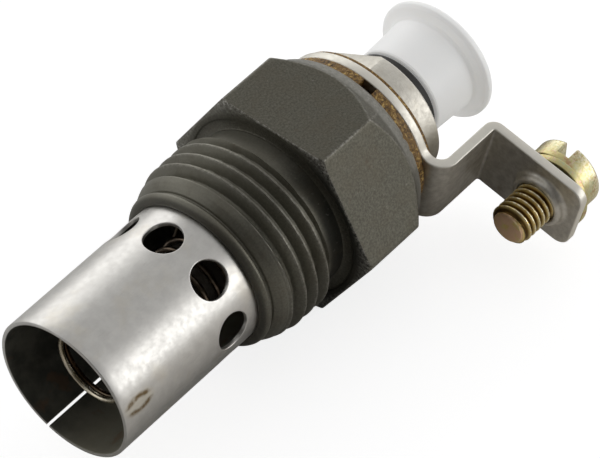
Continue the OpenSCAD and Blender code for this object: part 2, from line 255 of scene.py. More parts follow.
# ------------------------------------------------------------- material helper
class Finish:
    """A small builder for one procedural material."""

    def __init__(self, name, **inputs):
        self.material = bpy.data.materials.new(name)
        self.material.use_nodes = True
        self.tree = self.material.node_tree
        self.tree.nodes.clear()
        self.bsdf = self.add("ShaderNodeBsdfPrincipled")
        out = self.add("ShaderNodeOutputMaterial")
        self.tree.links.new(self.bsdf.outputs[0], out.inputs[0])
        self.place = self.add("ShaderNodeTexCoord").outputs["Object"]
        for key, value in inputs.items():
            self.put(key.replace("_", " "), value)

    def add(self, kind, **props):
        node = self.tree.nodes.new(kind)
        for key, value in props.items():
            setattr(node, key, value)
        return node

    def feed(self, socket, value):
        if isinstance(value, bpy.types.NodeSocket):
            self.tree.links.new(value, socket)
        elif isinstance(value, (tuple, list)) and socket.type == "RGBA":
            socket.default_value = (*value[:3], 1)
        else:
            socket.default_value = value

    def put(self, name, value):
        self.feed(self.bsdf.inputs[name], value)

    def math(self, op, a, b=0.0, clamp=False):
        node = self.add("ShaderNodeMath", operation=op, use_clamp=clamp)
        self.feed(node.inputs[0], a)
        self.feed(node.inputs[1], b)
        return node.outputs[0]

    def stretch(self, scale):
        """The place with each axis scaled on its own."""
        node = self.add("ShaderNodeVectorMath", operation="MULTIPLY")
        self.feed(node.inputs[0], self.place)
        self.feed(node.inputs[1], scale)
        return node.outputs[0]

    def noise(self, size, detail=3.0, rough=0.55, vector=None, distortion=0.0):
        """Noise from 0 to 1 whose features are about size mm across."""
        node = self.add("ShaderNodeTexNoise")
        self.feed(node.inputs["Vector"], vector or self.place)
        node.inputs["Scale"].default_value = 1 / (size * MM)
        node.inputs["Detail"].default_value = detail
        node.inputs["Roughness"].default_value = rough
        node.inputs["Distortion"].default_value = distortion
        return node.outputs[0]

    def span(self, value, low, high, to_low=0.0, to_high=1.0):
        """A smooth step from to_low to to_high, while value goes from low to high."""
        node = self.add("ShaderNodeMapRange", interpolation_type="SMOOTHSTEP")
        for k, v in enumerate((value, low, high, to_low, to_high)):
            self.feed(node.inputs[k], v)
        return node.outputs[0]

    def mix(self, share, a, b):
        node = self.add("ShaderNodeMix", data_type="RGBA")
        self.feed(node.inputs[0], share)
        self.feed(node.inputs[6], a)
        self.feed(node.inputs[7], b)
        return node.outputs[2]

    def attribute(self, name):
        return self.add("ShaderNodeAttribute", attribute_name=name).outputs["Fac"]

    def axes(self):
        """x, y and z in millimetres in the row frame."""
        node = self.add("ShaderNodeSeparateXYZ")
        self.feed(node.inputs[0], self.stretch((1000, 1000, 1000)))
        return node.outputs[0], node.outputs[1], node.outputs[2]

    def radius(self):
        """Distance from the plug's axis in millimetres."""
        _, y, z = self.axes()
        return self.math("SQRT", self.math("ADD", self.math("MULTIPLY", y, y),
                                           self.math("MULTIPLY", z, z)))

    def bump(self, height, depth, strength=1.0):
        """Adds a bump depth mm deep over any bump before it."""
        node = self.add("ShaderNodeBump")
        self.feed(node.inputs["Strength"], strength)
        node.inputs["Distance"].default_value = depth * MM
        self.feed(node.inputs["Height"], height)
        before = self.bsdf.inputs["Normal"]
        if before.is_linked:
            self.feed(node.inputs["Normal"], before.links[0].from_socket)
        self.put("Normal", node.outputs[0])


def phosphate():
    """Dark, slightly olive phosphated steel with bright worn edges."""
    f = Finish("phosphated steel", Metallic=0.65)
    x, y, _ = f.axes()
    grain = f.noise(0.25, 4, 0.65)
    patch = f.noise(3.5, 3, 0.6)
    base = f.mix(f.span(grain, 0.3, 0.72), (0.084, 0.079, 0.060), (0.152, 0.145, 0.114))
    # the thread and neck are paler than the hexagon, and a painted light makes them paler
    # still towards +Y
    front_paler_with_painted_light = f.math("MULTIPLY", f.span(x, SEAT, SEAT - 0.2), f.span(y, -7, 3, 0.25, 0.65))
    base = f.mix(front_paler_with_painted_light, base, (0.26, 0.25, 0.205))
    # painted shade: the neck's -Y side next to the hexagon is darkened, as in the hexagon's
    # shadow, and made a little rougher
    neck_painted_shade = f.math("MULTIPLY", f.span(y, -2, -8, 0.0, 0.8), f.span(x, SEAT - 2.5, SEAT - 1.4))
    neck_painted_shade = f.math("MULTIPLY", neck_painted_shade, f.span(x, SEAT + 0.12, SEAT))
    base = f.mix(neck_painted_shade, base, (0.018, 0.018, 0.014))
    # painted shade: the lip's front face, where it meets the shield, is darkened as in a
    # contact shadow
    base = f.mix(f.span(x, SEAT - 11.95, SEAT - 12.3, 0.0, 0.6), base, (0.02, 0.019, 0.016))
    warm = f.math("MULTIPLY", f.span(patch, 0.42, 0.7), 0.35)
    base = f.mix(warm, base, (0.115, 0.100, 0.070))
    rim = f.math("MULTIPLY", f.span(x, SEAT + 10.0, SEAT + 10.7), 0.75)
    base = f.mix(rim, base, (0.24, 0.232, 0.205))
    speck = f.span(f.noise(0.45, 2, 0.5), 0.68, 0.76)
    base = f.mix(f.math("MULTIPLY", speck, 0.35), base, (0.26, 0.25, 0.22))
    rust = f.math("MULTIPLY", f.span(f.noise(1.6, 4, 0.7), 0.62, 0.72), 0.25)
    base = f.mix(rust, base, (0.10, 0.065, 0.035))
    worn = f.math("MULTIPLY", f.attribute("wear"), f.span(f.noise(0.4, 4, 0.75), 0.36, 0.66),
                  clamp=True)
    base = f.mix(worn, base, (0.60, 0.58, 0.53))
    f.put("Base Color", base)
    f.put("Roughness", f.math("ADD", f.span(worn, 0.0, 1.0, 0.43, 0.30),
                              f.math("MULTIPLY", neck_painted_shade, 0.3)))
    f.bump(grain, 0.035, f.span(x, SEAT - 2.2, SEAT, 0.22, 0.55))
    f.bump(f.noise(1.4, 2, 0.5), 0.04, 0.35)
    return f.material


def stainless():
    """Satin rolled sheet, bright outside, heat-browned inside."""
    f = Finish("stainless sheet", Metallic=1.0)
    x, y, z = f.axes()
    streak = f.noise(0.16, 3, 0.6, f.stretch((0.10, 1, 1)))
    mottle = f.noise(1.3, 4, 0.65)
    outside = f.mix(f.span(mottle, 0.35, 0.7), (0.645, 0.63, 0.60), (0.715, 0.70, 0.665))
    tint = f.math("MULTIPLY", f.span(f.noise(4.5, 3, 0.6), 0.5, 0.72), 0.35)
    outside = f.mix(tint, outside, (0.72, 0.66, 0.54))
    outside = f.mix(f.math("MULTIPLY", f.span(streak, 0.56, 0.8), 0.25), outside,
                    (0.42, 0.40, 0.37))
    # two golden brown arcs, the mark of the spot weld that holds the igniter wire's tail
    turn = math.radians(WELD_A)
    along = f.math("MULTIPLY", f.math("SUBTRACT", x, SEAT + WELD_X), 1 / WELD_L)
    side = f.math("ADD", f.math("MULTIPLY", y, -math.sin(turn)),
                  f.math("MULTIPLY", z, math.cos(turn)))
    front = f.math("ADD", f.math("MULTIPLY", y, math.cos(turn)),
                   f.math("MULTIPLY", z, math.sin(turn)))
    side = f.math("MULTIPLY", side, 1 / WELD_W)
    oval = f.math("SQRT", f.math("ADD", f.math("MULTIPLY", along, along),
                                 f.math("MULTIPLY", side, side)))
    wobble = f.math("MULTIPLY", f.math("SUBTRACT", f.noise(0.8, 3, 0.6), 0.5), 0.45)
    oval = f.math("ADD", oval, wobble)
    shown = f.span(front, 4.0, 5.0)
    halo = f.math("MULTIPLY", f.span(oval, 1.8, 0.9), f.math("MULTIPLY", shown, 0.3))
    outside = f.mix(halo, outside, (0.78, 0.70, 0.50))
    ring = f.math("MULTIPLY", f.span(oval, 0.40, 0.90), f.span(oval, 1.55, 1.0))
    ring = f.math("MULTIPLY", ring, f.span(f.math("ABSOLUTE", side), 0.12, 0.55))
    ring = f.math("MULTIPLY", f.math("MULTIPLY", ring, shown),
                  f.span(f.noise(0.5, 3, 0.6), 0.30, 0.60, 0.40, 0.92))
    outside = f.mix(ring, outside, (0.17, 0.105, 0.035))
    inside = f.mix(f.span(f.noise(2.4, 4, 0.6), 0.35, 0.7), (0.075, 0.075, 0.062),
                   (0.15, 0.145, 0.12))
    # painted light: the inner face is paler towards -Y
    inside = f.mix(f.span(y, 3.5, -2.5, 0.0, 0.6), inside, (0.36, 0.335, 0.255))
    brown = f.math("MULTIPLY", f.span(f.noise(3.0, 3, 0.6), 0.58, 0.70), 0.5)
    inside = f.mix(brown, inside, (0.20, 0.11, 0.06))
    within = f.span(f.radius(), SHIELD_R - SHEET + 0.09, SHIELD_R - SHEET + 0.03)
    f.put("Base Color", f.mix(within, outside, inside))
    f.put("Metallic", f.span(within, 0.0, 1.0, 1.0, 0.45))
    rough = f.span(f.noise(0.7, 3, 0.6), 0.3, 0.75, 0.30, 0.42)
    f.put("Roughness", f.math("ADD", rough, f.math("MULTIPLY", within, 0.2)))
    f.bump(streak, 0.006, 0.5)
    f.bump(f.noise(1.9, 2, 0.5), 0.02, 0.5)
    return f.material


def nickel():
    """Satin nickel plate, a little warm, with small knocks."""
    f = Finish("nickel plate", Metallic=1.0)
    mottle = f.noise(0.9, 4, 0.65)
    base = f.mix(f.span(mottle, 0.3, 0.7), (0.54, 0.51, 0.45), (0.70, 0.67, 0.60))
    stain = f.math("MULTIPLY", f.span(f.noise(2.6, 3, 0.6), 0.58, 0.74), 0.5)
    base = f.mix(stain, base, (0.38, 0.33, 0.24))
    # bare cut edges, and the nut, are paler
    pale = f.math("MAXIMUM", f.attribute("cut"), f.span(f.radius(), 9.0, 8.5, 0.0, 0.55))
    base = f.mix(f.math("MULTIPLY", pale, 0.8), base, (0.86, 0.83, 0.75))
    f.put("Base Color", base)
    f.put("Roughness", f.span(f.noise(0.5, 3, 0.6), 0.3, 0.7, 0.42, 0.55))
    f.bump(f.noise(0.18, 3, 0.6, f.stretch((1, 0.25, 0.25))), 0.008, 0.5)
    f.bump(f.noise(0.8, 2, 0.5), 0.02, 0.5)
    nut = f.span(f.radius(), 8.5, 8.3)  # coarser, and knocked about
    f.bump(f.noise(0.45, 3, 0.65), 0.06, f.math("MULTIPLY", nut, 0.7))
    return f.material


def fibre():
    """Brown resin-bonded fibre: gold flecks between dark ones."""
    f = Finish("resin fibre", Roughness=0.55)
    grain = f.noise(0.42, 4, 0.7, distortion=0.6)
    base = f.mix(f.span(grain, 0.34, 0.50), (0.034, 0.017, 0.005), (0.25, 0.135, 0.030))
    base = f.mix(f.span(grain, 0.54, 0.64), base, (0.72, 0.49, 0.15))
    f.put("Base Color", base)
    f.bump(grain, 0.09, 0.8)
    return f.material


def rubber():
    f = Finish("black rubber", Roughness=0.6)
    f.put("Base Color", f.mix(f.noise(0.9, 3, 0.6), (0.012, 0.012, 0.012),
                              (0.040, 0.036, 0.032)))
    f.bump(f.noise(0.35, 3, 0.6), 0.012, 0.5)
    return f.material


def polythene():
    """Milky unpigmented polythene, with a painted light: an even glow from its emission that
    stands in for light passing through it.
    """
    f = Finish("natural polythene", Roughness=0.42)
    f.put("Base Color", f.mix(f.noise(2.5, 2, 0.5), (0.90, 0.90, 0.90), (0.95, 0.95, 0.94)))
    f.put("Subsurface Weight", 0.35)
    f.put("Subsurface Radius", (1.0, 0.95, 0.9))
    f.put("Subsurface Scale", 1.2 * MM)
    # painted light: the cap glows evenly, though it is no lamp
    f.put("Emission Color", (1.0, 1.0, 0.98))
    f.put("Emission Strength", 0.22)
    f.bump(f.noise(1.8, 2, 0.5), 0.02, 0.4)
    return f.material


def zinc():
    """Yellow passivated zinc, iridescent in patches."""
    f = Finish("yellow zinc", Metallic=1.0)
    hue = f.noise(0.9, 3, 0.6, distortion=0.4)
    base = f.mix(f.span(hue, 0.30, 0.48), (0.52, 0.33, 0.17), (0.62, 0.55, 0.26))
    base = f.mix(f.span(hue, 0.50, 0.66), base, (0.60, 0.58, 0.34))
    pink = f.math("MULTIPLY", f.span(f.noise(0.6, 3, 0.6), 0.55, 0.7), 0.55)
    base = f.mix(pink, base, (0.74, 0.50, 0.46))
    green = f.math("MULTIPLY", f.span(f.noise(0.75, 2, 0.5, distortion=0.3), 0.60, 0.72), 0.45)
    base = f.mix(green, base, (0.46, 0.60, 0.40))
    x, _, _ = f.axes()
    # the shank is more golden and paler than the head: partly its own tone, partly painted
    # light that offsets the dark tab beside it
    base = f.mix(f.span(x, SEAT + 23.6, SEAT + 23.3, 0.0, 0.65), base, (1.0, 0.74, 0.26))
    worn = f.math("MULTIPLY", f.attribute("wear"), f.span(f.noise(0.3, 3, 0.7), 0.38, 0.56))
    base = f.mix(worn, base, (1.0, 0.95, 0.74))
    # painted shade: the thread's grooves and the slot's floor, marked by the deep attribute,
    # are darkened
    deep = f.attribute("deep")
    base = f.mix(f.math("MULTIPLY", deep, 0.95), base, (0.10, 0.050, 0.012))
    blush = f.span(f.noise(1.3, 2, 0.5), 0.42, 0.58, 0.0, 0.6)
    base = f.mix(f.math("MULTIPLY", blush, f.span(x, SEAT + 16.9, SEAT + 16.7)), base,
                 (1.0, 0.62, 0.50))
    f.put("Base Color", base)
    f.put("Roughness", f.span(f.noise(0.35, 3, 0.6), 0.3, 0.7, 0.28, 0.42))
    f.bump(f.noise(0.25, 3, 0.6), 0.012, 0.6)
    return f.material


def plain_metal(name, dark, light, rough=(0.3, 0.45), size=0.8, painted_turn_shade=None):
    f = Finish(name, Metallic=1.0)
    base = f.mix(f.span(f.noise(size, 4, 0.6), 0.3, 0.7), dark, light)
    # painted shade: the turns behind the front one are darkened, as if in shadow inside the
    # shield
    if painted_turn_shade:  # only the front turn stays bright
        x, _, _ = f.axes()
        base = f.mix(f.span(x, SEAT - 28.75, SEAT - 28.35), base, painted_turn_shade)
    f.put("Base Color", base)
    f.put("Roughness", f.span(f.noise(size * 0.5, 3, 0.6), 0.3, 0.7, *rough))
    f.bump(f.noise(size * 0.3, 3, 0.6), 0.008, 0.5)
    return f.material


def plain_matte(name, dark, light, rough=0.6, size=0.8):
    f = Finish(name, Roughness=rough)
    f.put("Base Color", f.mix(f.span(f.noise(size, 4, 0.6), 0.3, 0.7), dark, light))
    f.bump(f.noise(size * 0.4, 3, 0.6), 0.02, 0.5)
    return f.material


PHOSPHATE, STAINLESS, NICKEL = phosphate(), stainless(), nickel()
FIBRE, RUBBER, POLYTHENE, ZINC = fibre(), rubber(), polythene(), zinc()
PLAIN_STEEL = plain_metal("plain steel", (0.40, 0.39, 0.36), (0.58, 0.56, 0.53))
BAR_STEEL = plain_metal("stainless bar", (0.30, 0.27, 0.23), (0.55, 0.52, 0.48))
BALL_STEEL = plain_metal("ball steel", (0.74, 0.74, 0.74), (0.82, 0.82, 0.82), (0.08, 0.14))
HOT_WIRE = plain_metal("resistance wire", (0.10, 0.07, 0.05), (0.30, 0.24, 0.18),
                       (0.28, 0.42), 1.2)
# the igniter wire's turns behind its front one take painted shade
LOOP_WIRE = plain_metal("igniter wire", (0.62, 0.53, 0.38), (0.96, 0.90, 0.74),
                        (0.20, 0.34), 2.0, (0.075, 0.045, 0.025))
COPPER = plain_metal("copper", (0.60, 0.32, 0.20), (0.76, 0.46, 0.32))
GAUZE = plain_metal("gauze", (0.40, 0.34, 0.22), (0.62, 0.56, 0.42), (0.35, 0.5), 0.3)
CERAMIC = plain_matte("ceramic", (0.07, 0.058, 0.045), (0.15, 0.13, 0.105), 0.75)
RESIN = plain_matte("moulded resin", (0.16, 0.085, 0.035), (0.30, 0.18, 0.08), 0.5)


# ----------------------------------------------------------------- hexagon body
def soft_min(a, b, w):
    """The smaller of a and b, rounded over a width w where they meet."""
    h = np.clip(0.5 + 0.5 * (b - a) / w, 0, 1)
    return b + (a - b) * h - w * h * (1 - h)


def hex_radius(angles):
    """Radius of the hexagon at each angle, its corners rounded."""
    cut, blend = 0.054, 0.10
    off = np.radians(np.abs(angles % 60 - 30))  # a corner stands at 0, a flat's middle at 30
    flat = FLAT_R / np.cos(off)
    return soft_min(flat, np.full_like(flat, HEX_R - cut), blend)


def thread_depth(x, angles, root, pitch, depth, root_half, flank):
    """Depth and crest-edge nearness of a right-hand V thread at x, for each angle."""
    phase = (x - root) / pitch - angles / 360
    d = np.abs(phase - np.round(phase)) * pitch
    cut = np.clip(depth * (root_half + flank - d) / flank, 0, depth)
    band = 0.09  # width of the crest's edge
    edge = np.exp(-(((d - root_half - flank) / band) ** 2))
    return cut, edge


def hex_body():
    corners = [60 * k + s for k in range(6) for s in (-0.7, -0.45, -0.2, 0.2, 0.45, 0.7)]
    angles = np.sort(np.concatenate([np.arange(0, 360, 1.0), np.array(corners) % 360]))
    rh = hex_radius(angles)
    ones = np.ones_like(angles)
    depth, root_half, flank = 1.11, 0.15, 0.66  # the thread's V
    root = -4.54 - PITCH * 208 / 360  # a root passes -4.54 at 208 degrees
    start, fade, runout = -9.75, 0.75, -2.32  # the thread's first and last turns
    front_r, front_slope = 13.35, 1.833  # the hexagon's chamfers
    rear_r, rear_x, rear_slope = 13.95, 7.75, 0.832
    edge_r = 0.13
    rows, wear = [], []

    def row(x, r, w=0.0):
        rows.append((x * ones if np.isscalar(x) else x, r * ones))
        wear.append(w * ones)

    # rear stop of the shield, the shield's seat and the lip rolled on to it
    for x, r in ((-7.6, 7.6), (-7.6, 8.7), (-12.25, 8.7), (-12.37, 8.74), (-12.42, 8.9),
                 (-12.42, 9.1), (-12.38, 9.28), (-12.3, 9.44), (-12.18, 9.6), (-12.02, 9.73),
                 (-11.85, 9.81), (-11.66, 9.84), (-11.5, 9.8), (-11.38, 9.7), (-11.28, 9.56),
                 (-11.2, 9.45), (-11.1, 9.40), (-11.0, 9.43), (-10.95, 9.55)):
        row(x, r)
    # thread with its run-outs, and the neck
    for x in np.arange(-10.93, -2.2, 0.06):
        crest = np.interp(x, CREST_X, CREST_R)
        full = np.clip((x - start) / fade, 0, 1)
        full = full * full * (3 - 2 * full)
        cut, edge = thread_depth(x, angles, root, PITCH, depth, root_half, flank)
        r = crest - cut * full
        tail = NECK_R + max(0.0, runout - x) * 1.9
        r = soft_min(r, np.full_like(r, tail), 0.08)
        row(x, r)
        wear[-1] = 0.3 * edge * full * (r > crest - 0.25)
    for x, r in ((-2.1, NECK_R), (-1.2, NECK_R), (-0.25, NECK_R), (0.05, 9.88), (0.15, 10.0),
                 (0.15, 11.05), (0.12, 11.15), (0.03, 11.22), (0.0, 11.3), (0.0, 11.7)):
        row(x, r)
    # hexagon with both chamfers
    corner = np.exp(-((angles % 60 - 60 * (angles % 60 > 30)) / 0.55) ** 2)
    for x in np.concatenate([np.arange(0.0, 1.0, 0.045), np.arange(1.1, 8.0, 0.6),
                             np.arange(8.0, 10.2, 0.07)]):
        front = front_r + x * front_slope
        rear = rear_r - max(0.0, x - rear_x) * rear_slope
        r = soft_min(soft_min(rh, front * ones, 0.12), rear * ones, 0.14)
        k = max(0.0, edge_r - x)
        r = r - (edge_r - math.sqrt(max(0.0, edge_r ** 2 - k * k)))
        row(x, r)
        edge = np.exp(-((rh - front) / 0.07) ** 2) * 1.6
        edge = edge + np.exp(-((rh - rear) / 0.09) ** 2) * 0.7
        wear[-1] = np.clip(corner * 0.4 + edge * 0.4 + (x < 0.1) * 0.45, 0, 1)
    # rolled rear rim, with two small knocks in its edge
    knock = sum(deep * np.exp(-((angles - a) / 1.4) ** 2)
                for deep, a in ((0.20, 141), (0.16, 149.5)))
    for x, r, w in ((10.2, 11.86, 0.3), (10.3, 11.74, 0.1), (10.6, 11.64, 0.15),
                    (10.9, 11.52, 0.2), (11.2, 11.37, 0.25), (11.5, 11.18, 0.3),
                    (11.75, 10.98, 0.35), (11.93, 10.80, 0.5), (12.04, 10.66, 0.8),
                    (12.1, 10.52, 0.9), (12.1, 10.34, 0.7), (12.04, 10.24, 0.4)):
        row(x - knock * (x > 11.7), r - knock * 0.5 * (x > 11.7), w)
    for x, r in ((11.8, 10.22), (10.9, 10.22), (10.9, 7.4), (-2.4, 7.4), (-2.4, 8.1),
                 (-5.4, 8.1), (-5.4, 7.6)):
        row(x, r)
    faces = grid_faces(len(rows), len(angles), wrap_rows=True, wrap_cols=True)
    obj = make("threaded_body", turned(rows, angles), faces, 40)
    store(obj, "wear", np.concatenate(wear))
    stand_for(obj, "plug", "hex_body", PHOSPHATE)


# ----------------------------------------------------------------------- shield
def shield():
    e = 0.09  # rounding of the sheet's edges
    sway = 0.02  # how far the sheet is off true at its mouth
    half = math.degrees(SEAM_W / 2 / SHIELD_R)
    lo, hi = SEAM_A + half, SEAM_A + 360 - half
    centres = [HOLE_A + 45 * k for k in range(5, 13)]
    borders = [lo] + [(a + b) / 2 for a, b in zip(centres, centres[1:])] + [hi]
    per_mm = math.degrees(1 / SHIELD_R)
    n, reach_x = 16, 2.9  # points on each side of a hole's cell, and half its length
    x0, x1 = MOUTH + e, SHIELD_END - e
    p0, p1 = lo + e * per_mm, hi - e * per_mm
    cell0, cell1 = HOLE_X - reach_x, HOLE_X + reach_x
    front, rear = np.linspace(x0, cell0, 15), np.linspace(cell1, x1, 6)
    verts, faces = [], []

    def at(x, a, depth):
        wave = sway * math.sin(math.radians(2 * a + 40))
        wave = wave * (x - SHIELD_END) / (MOUTH - SHIELD_END)
        verts.append(polar(x, SHIELD_R - depth + wave - sway, a))
        return len(verts) - 1

    def patch(grid):
        for u, v in zip(grid, grid[1:]):
            for j in range(len(u) - 1):
                faces.append((u[j], u[j + 1], v[j + 1], v[j]))

    def hole_ring(c, a, b, wider, depth, t=0.0):
        """A ring round the hole at c: the hole's edge at t = 0, its cell's border at 1."""
        side = np.linspace(0, 1, n + 1)[:-1]
        loop = [(cell0, a + (b - a) * u) for u in side]
        loop += [(cell0 + (cell1 - cell0) * u, b) for u in side]
        loop += [(cell1, b + (a - b) * u) for u in side]
        loop += [(cell1 + (cell0 - cell1) * u, a) for u in side]
        ring = []
        for x, q in loop:
            dx, ds = x - HOLE_X, (q - c) / per_mm
            reach = (HOLE_R + wider) / math.hypot(dx, ds)
            hx, hq = HOLE_X + dx * reach, c + ds * reach * per_mm
            ring.append(at(hx + (x - hx) * t, hq + (q - hq) * t, depth))
        return ring + ring[:1]

    columns = []
    edges = [p0] + borders[1:-1] + [p1]
    for a, b in zip(edges, edges[1:]):
        columns += [a + (b - a) * k / n for k in range(n)]
    columns.append(p1)
    for depth in (0.0, SHEET):
        for xs in (front, rear):
            patch([[at(x, a, depth) for a in columns] for x in xs])
        for cell in zip(centres, edges, edges[1:]):
            patch([hole_ring(*cell, e, depth, t) for t in (0, 0.08, 0.2, 0.4, 0.7, 1.0)])
    # rounded walls of the holes
    arc = [(e * (1 - math.sin(t)), e * (1 - math.cos(t)))
           for t in np.radians([0, 30, 60, 90])]
    wall = arc + [(u, SHEET - d) for u, d in reversed(arc)]
    for cell in zip(centres, edges, edges[1:]):
        patch([hole_ring(*cell, u, depth) for u, depth in wall])
    # rounded outer edges of the sheet: mouth, seam and rear end
    sides = [*front, *(cell0 + (cell1 - cell0) * k / n for k in range(1, n)), *rear]
    rings = []
    for u, depth in wall:
        g = e - u  # how far this ring stands out of the flat part

        def outward(x, q):
            return (x + (-g if x == x0 else g if x == x1 else 0),
                    q + (-g if q == p0 else g if q == p1 else 0) * per_mm)

        loop = [(x0, q) for q in columns] + [(x, p1) for x in sides[1:]]
        loop += [(x1, q) for q in columns[-2::-1]] + [(x, p0) for x in sides[-2:0:-1]]
        ring = [at(*outward(x, q), depth) for x, q in loop]
        rings.append(ring + ring[:1])
    patch(rings)
    obj = make("flame_shield", verts, faces, 40, weld=0.0005)
    stand_for(obj, "plug", "shield", STAINLESS)


# ------------------------------------------------------------------------ coils
def coils():
    end = COIL_A + 360 * COIL_TURNS
    path = helix(COIL_FRONT, COIL_REAR, COIL_R, COIL_A, end, 60 * COIL_TURNS)
    obj = make("heater_winding", *sweep(path, disc(HEATER_WIRE_R, 12)), 50)
    stand_for(obj, "plug", "heater_coil", HOT_WIRE)
    stretched = helix(COIL_FRONT, -28.0, COIL_R, COIL_A, COIL_A - 346, 40)
    loops = helix(-28.05, -29.05, COIL_R, COIL_A - 361, COIL_A - 900, 64)
    tail = [polar(-29.35, 4.9, TAB_A + 5), polar(-29.75, 6.4, TAB_A + 1),
            polar(-30.2, 7.9, TAB_A)]
    path = smooth_path(stretched + loops + tail, 3)
    obj = make("igniter_loops", *sweep(path, disc(LOOP_WIRE_R, 14)), 50)
    stand_for(obj, "plug", "igniter_coil", LOOP_WIRE)
    # the flattened tab at the tail's end
    section = fillet([(-31.75, 7.78), (-28.65, 7.78), (-28.65, 8.17), (-31.75, 8.17)], 0.1, 3)
    verts, count, spread = [], 9, 13.2
    for k in range(count):
        a = TAB_A + spread * (k / (count - 1) - 0.5)
        verts += [polar(x, r, a) for x, r in section]
    obj = make("weld_tab", verts, rod_faces(count, len(section)), 40)
    stand_for(obj, "plug", None, LOOP_WIRE)


# --------------------------------------------------------------- rear end parts
def outer_washer():
    slot, rim_r, step = 1.8, 10.12, 0.13
    gap = math.degrees(slot / 2 / 10.1)
    profile = fillet([(10.95, 7.42), (10.95, rim_r), (13.5, rim_r), (13.5, 7.42)],
                     [0, 0, 0.18, 0], 3)
    fine = []
    for (xa, ra), (xb, rb) in zip(profile, profile[1:] + profile[:1]):
        k = max(1, int(math.hypot(xb - xa, rb - ra) / step))
        fine += [(xa + (xb - xa) * i / k, ra + (rb - ra) * i / k) for i in range(k)]
    count, verts = 430, []
    for k in range(count):
        a = SLOT_A + gap + (360 - 2 * gap) * k / (count - 1)
        for x, r in fine:
            p = Vector(polar(x, r, a))
            rough = noise.noise(p * 3.1) * 0.6 + noise.noise(p * 7.7) * 0.4
            shown = 1.0 if r > 9.6 and x > 11.4 else 0.0
            verts.append(polar(x, r + min(0.03, 0.09 * rough - 0.02) * shown, a))
    obj = make("insulating_washer", verts, rod_faces(count, len(fine)), 50)
    stand_for(obj, "plug", "outer_washer", FIBRE)


def within(p, loop):
    """Whether the point p lies inside the closed loop of points."""
    hit = False
    for (a, b), (c, d) in zip(loop, loop[1:] + loop[:1]):
        if (b > p[1]) != (d > p[1]) and p[0] < a + (p[1] - b) * (c - a) / (d - b):
            hit = not hit
    return hit


